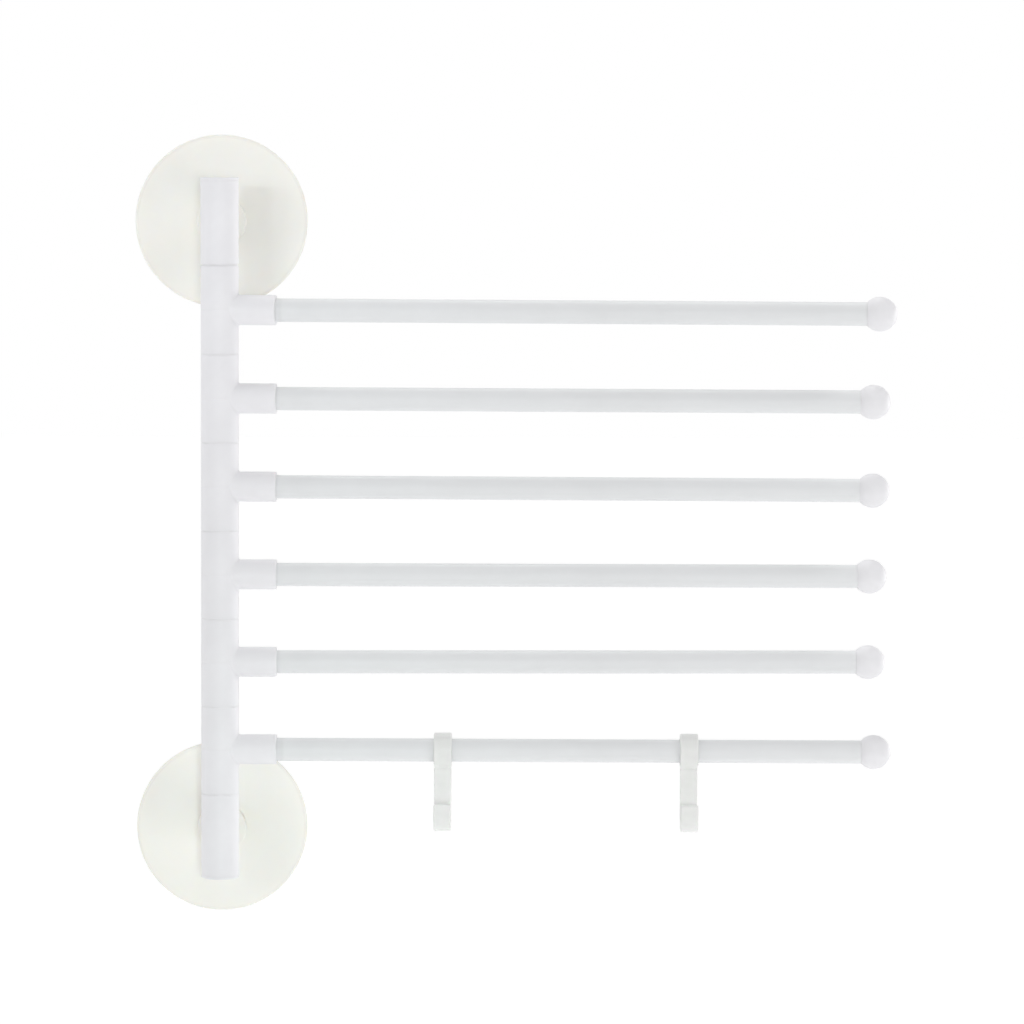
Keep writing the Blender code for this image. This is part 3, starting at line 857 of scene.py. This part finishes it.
# Degrees to the right, degrees up and distance, as seen from the aim, then width and watts
LIGHTS = {
    "key": (-32.0, 6.0, 2.4, 0.85, 3.4),
    "front": (3.0, 2.0, 2.6, 0.35, 8.8),
    "right_low": (45.0, -38.0, 1.2, 0.6, 3.0),
    "right_top": (70.0, 45.0, 2.4, 1.2, 15.0),
    "right_back": (118.0, 0.0, 2.4, 1.4, 14.0),
    "top": (0.0, 60.0, 2.4, 1.2, 6.8),
    "top_back": (0.0, 110.0, 2.4, 1.2, 12.3),
}

COOL_WHITE = (0.93, 1.0, 1.07)
GREENISH_WHITE = (0.80, 1.08, 1.0)
UPPER_DISC_AIM = (0.008, 0.0, -0.004)
LOWER_DISC_AIM = (0.010, 0.0, -0.2695)

# The same three, then the lamp's own aim, radius, watts and colour
SPOTS = {
    "upper_disc_near_spot": (-25.0, 8.0, 2.0, UPPER_DISC_AIM, 0.115, 17.5, COOL_WHITE),
    "upper_disc_far_spot": (-34.0, 8.0, 2.0, UPPER_DISC_AIM, 0.115, 17.5, COOL_WHITE),
    "lower_disc_spot": (5.0, -2.0, 2.2, LOWER_DISC_AIM, 0.12, 25.5, GREENISH_WHITE),
}
SPOT_CONE = math.radians(6.0)

# Strength of the surroundings' light from the wall's side, from the left and from the right
SURROUNDINGS = {(0.0, 1.0, 0.0): 0.72, (-1.0, 0.0, 0.0): 1.21, (1.0, 0.0, 0.0): 0.22}

# The floor lights the object by its fill, and shows its glow to the camera and in a gloss
FLOOR_FILL = 0.47
FLOOR_GLOW = 0.75


def make_camera():
    yaw, pitch, roll = CAMERA_YAW, CAMERA_PITCH, CAMERA_ROLL
    forward = Vector((
        math.sin(yaw) * math.cos(pitch),
        math.cos(yaw) * math.cos(pitch),
        math.sin(pitch),
    ))
    level = Vector((math.cos(yaw), -math.sin(yaw), 0.0))
    upright = level.cross(forward)
    right = level * math.cos(roll) + upright * math.sin(roll)
    up = upright * math.cos(roll) - level * math.sin(roll)
    data = bpy.data.cameras.new("camera")
    data.lens = CAMERA_LENS
    data.sensor_width = SENSOR_WIDTH
    data.clip_end = 2 * FLOOR_SIZE
    camera = bpy.data.objects.new("camera", data)
    turn = Matrix((right, up, -forward)).transposed().to_4x4()
    camera.matrix_world = Matrix.Translation(CAMERA_PLACE) @ turn
    bpy.context.scene.collection.objects.link(camera)
    bpy.context.scene.camera = camera


def place_lamp(data, aim, azimuth, elevation, distance):
    """Hangs a lamp at these angles from its aim. Azimuth 0 is in front of the wall, 90 right."""
    turn, rise = math.radians(azimuth), math.radians(elevation)
    towards = Vector((
        math.sin(turn) * math.cos(rise),
        -math.cos(turn) * math.cos(rise),
        math.sin(rise),
    ))
    lamp = bpy.data.objects.new(data.name, data)
    lamp.visible_camera = False
    lamp.location = Vector(aim) + towards * distance
    lamp.rotation_mode = "QUATERNION"
    lamp.rotation_quaternion = towards.to_track_quat("Z", "Y")
    bpy.context.scene.collection.objects.link(lamp)


def make_light(name, azimuth, elevation, distance, size, power):
    data = bpy.data.lights.new(name, "AREA")
    data.shape = "DISK"
    data.size = size
    data.energy = power
    place_lamp(data, AIM, azimuth, elevation, distance)


def make_spot(name, azimuth, elevation, distance, aim, radius, power, colour):
    data = bpy.data.lights.new(name, "SPOT")
    data.color = colour
    data.spot_size = SPOT_CONE
    data.spot_blend = 1.0
    data.shadow_soft_size = radius
    data.energy = power
    place_lamp(data, aim, azimuth, elevation, distance)


def shown_white(tree):
    """1 for rays that should meet plain white: from the camera, a gloss or a clear piece."""
    path = tree.nodes.new("ShaderNodeLightPath")
    total = path.outputs["Is Camera Ray"]
    for name in ("Is Glossy Ray", "Is Transmission Ray"):
        larger = tree.nodes.new("ShaderNodeMath")
        larger.operation = "MAXIMUM"
        tree.links.new(total, larger.inputs[0])
        tree.links.new(path.outputs[name], larger.inputs[1])
        total = larger.outputs["Value"]
    return total


def soft_surroundings(tree):
    """Strength of the light from each direction: each listed side glows, most in its middle."""
    place = tree.nodes.new("ShaderNodeTexCoord")
    total = None
    for direction, share in SURROUNDINGS.items():
        facing = tree.nodes.new("ShaderNodeVectorMath")
        facing.operation = "DOT_PRODUCT"
        facing.inputs[1].default_value = direction
        tree.links.new(place.outputs["Generated"], facing.inputs[0])
        kept = tree.nodes.new("ShaderNodeMath")
        kept.operation = "MAXIMUM"
        kept.inputs[1].default_value = 0.0
        tree.links.new(facing.outputs["Value"], kept.inputs[0])
        added = tree.nodes.new("ShaderNodeMath")
        added.operation = "MULTIPLY_ADD"
        added.inputs[1].default_value = share
        added.inputs[2].default_value = 0.0
        tree.links.new(kept.outputs["Value"], added.inputs[0])
        if total:
            tree.links.new(total, added.inputs[2])
        total = added.outputs["Value"]
    return total


def make_world():
    world = bpy.data.worlds.new("studio")
    bpy.context.scene.world = world
    world.use_nodes = True
    tree = world.node_tree
    background = tree.nodes["Background"]
    background.inputs["Color"].default_value = WHITE
    strength = tree.nodes.new("ShaderNodeMapRange")
    tree.links.new(soft_surroundings(tree), strength.inputs["To Min"])
    strength.inputs["To Max"].default_value = 1.0
    tree.links.new(shown_white(tree), strength.inputs["Value"])
    tree.links.new(strength.outputs["Result"], background.inputs["Strength"])


def make_floor():
    shape = bmesh.new()
    bmesh.ops.create_grid(
        shape, x_segments=FLOOR_CELLS, y_segments=FLOOR_CELLS, size=FLOOR_SIZE / 2,
    )
    mesh = bpy.data.meshes.new("floor")
    shape.to_mesh(mesh)
    shape.free()
    floor = bpy.data.objects.new("floor", mesh)
    floor.location = (0, 0, FLOOR_HEIGHT)
    bpy.context.scene.collection.objects.link(floor)
    material = bpy.data.materials.new("pale floor")
    material.use_nodes = True
    tree = material.node_tree
    shader = tree.nodes["Principled BSDF"]
    shader.inputs["Base Color"].default_value = (FLOOR_GREY, FLOOR_GREY, FLOOR_GREY, 1.0)
    shader.inputs["Roughness"].default_value = FLOOR_ROUGHNESS
    shader.inputs["Specular IOR Level"].default_value = FLOOR_SPECULAR
    shader.inputs["Emission Color"].default_value = WHITE
    lit = tree.nodes.new("ShaderNodeMapRange")
    lit.inputs["To Min"].default_value = FLOOR_FILL
    lit.inputs["To Max"].default_value = FLOOR_GLOW
    tree.links.new(shown_white(tree), lit.inputs["Value"])
    tree.links.new(lit.outputs["Result"], shader.inputs["Emission Strength"])
    mesh.materials.append(material)


def main():
    plastic = white_plastic()
    build_wall_pieces(milky_plastic(), pad_foam())
    build_post(plastic, nylon())
    build_arms(plastic, coated_tube())
    build_hooks(hook_plastic())
    dress_hidden_nodes(steel())
    make_camera()
    make_world()
    make_floor()
    for name, values in LIGHTS.items():
        make_light(name, *values)
    for name, values in SPOTS.items():
        make_spot(name, *values)
    bpy.context.scene.view_settings.view_transform = "Standard"


main()

bpy.context.view_layer.update()
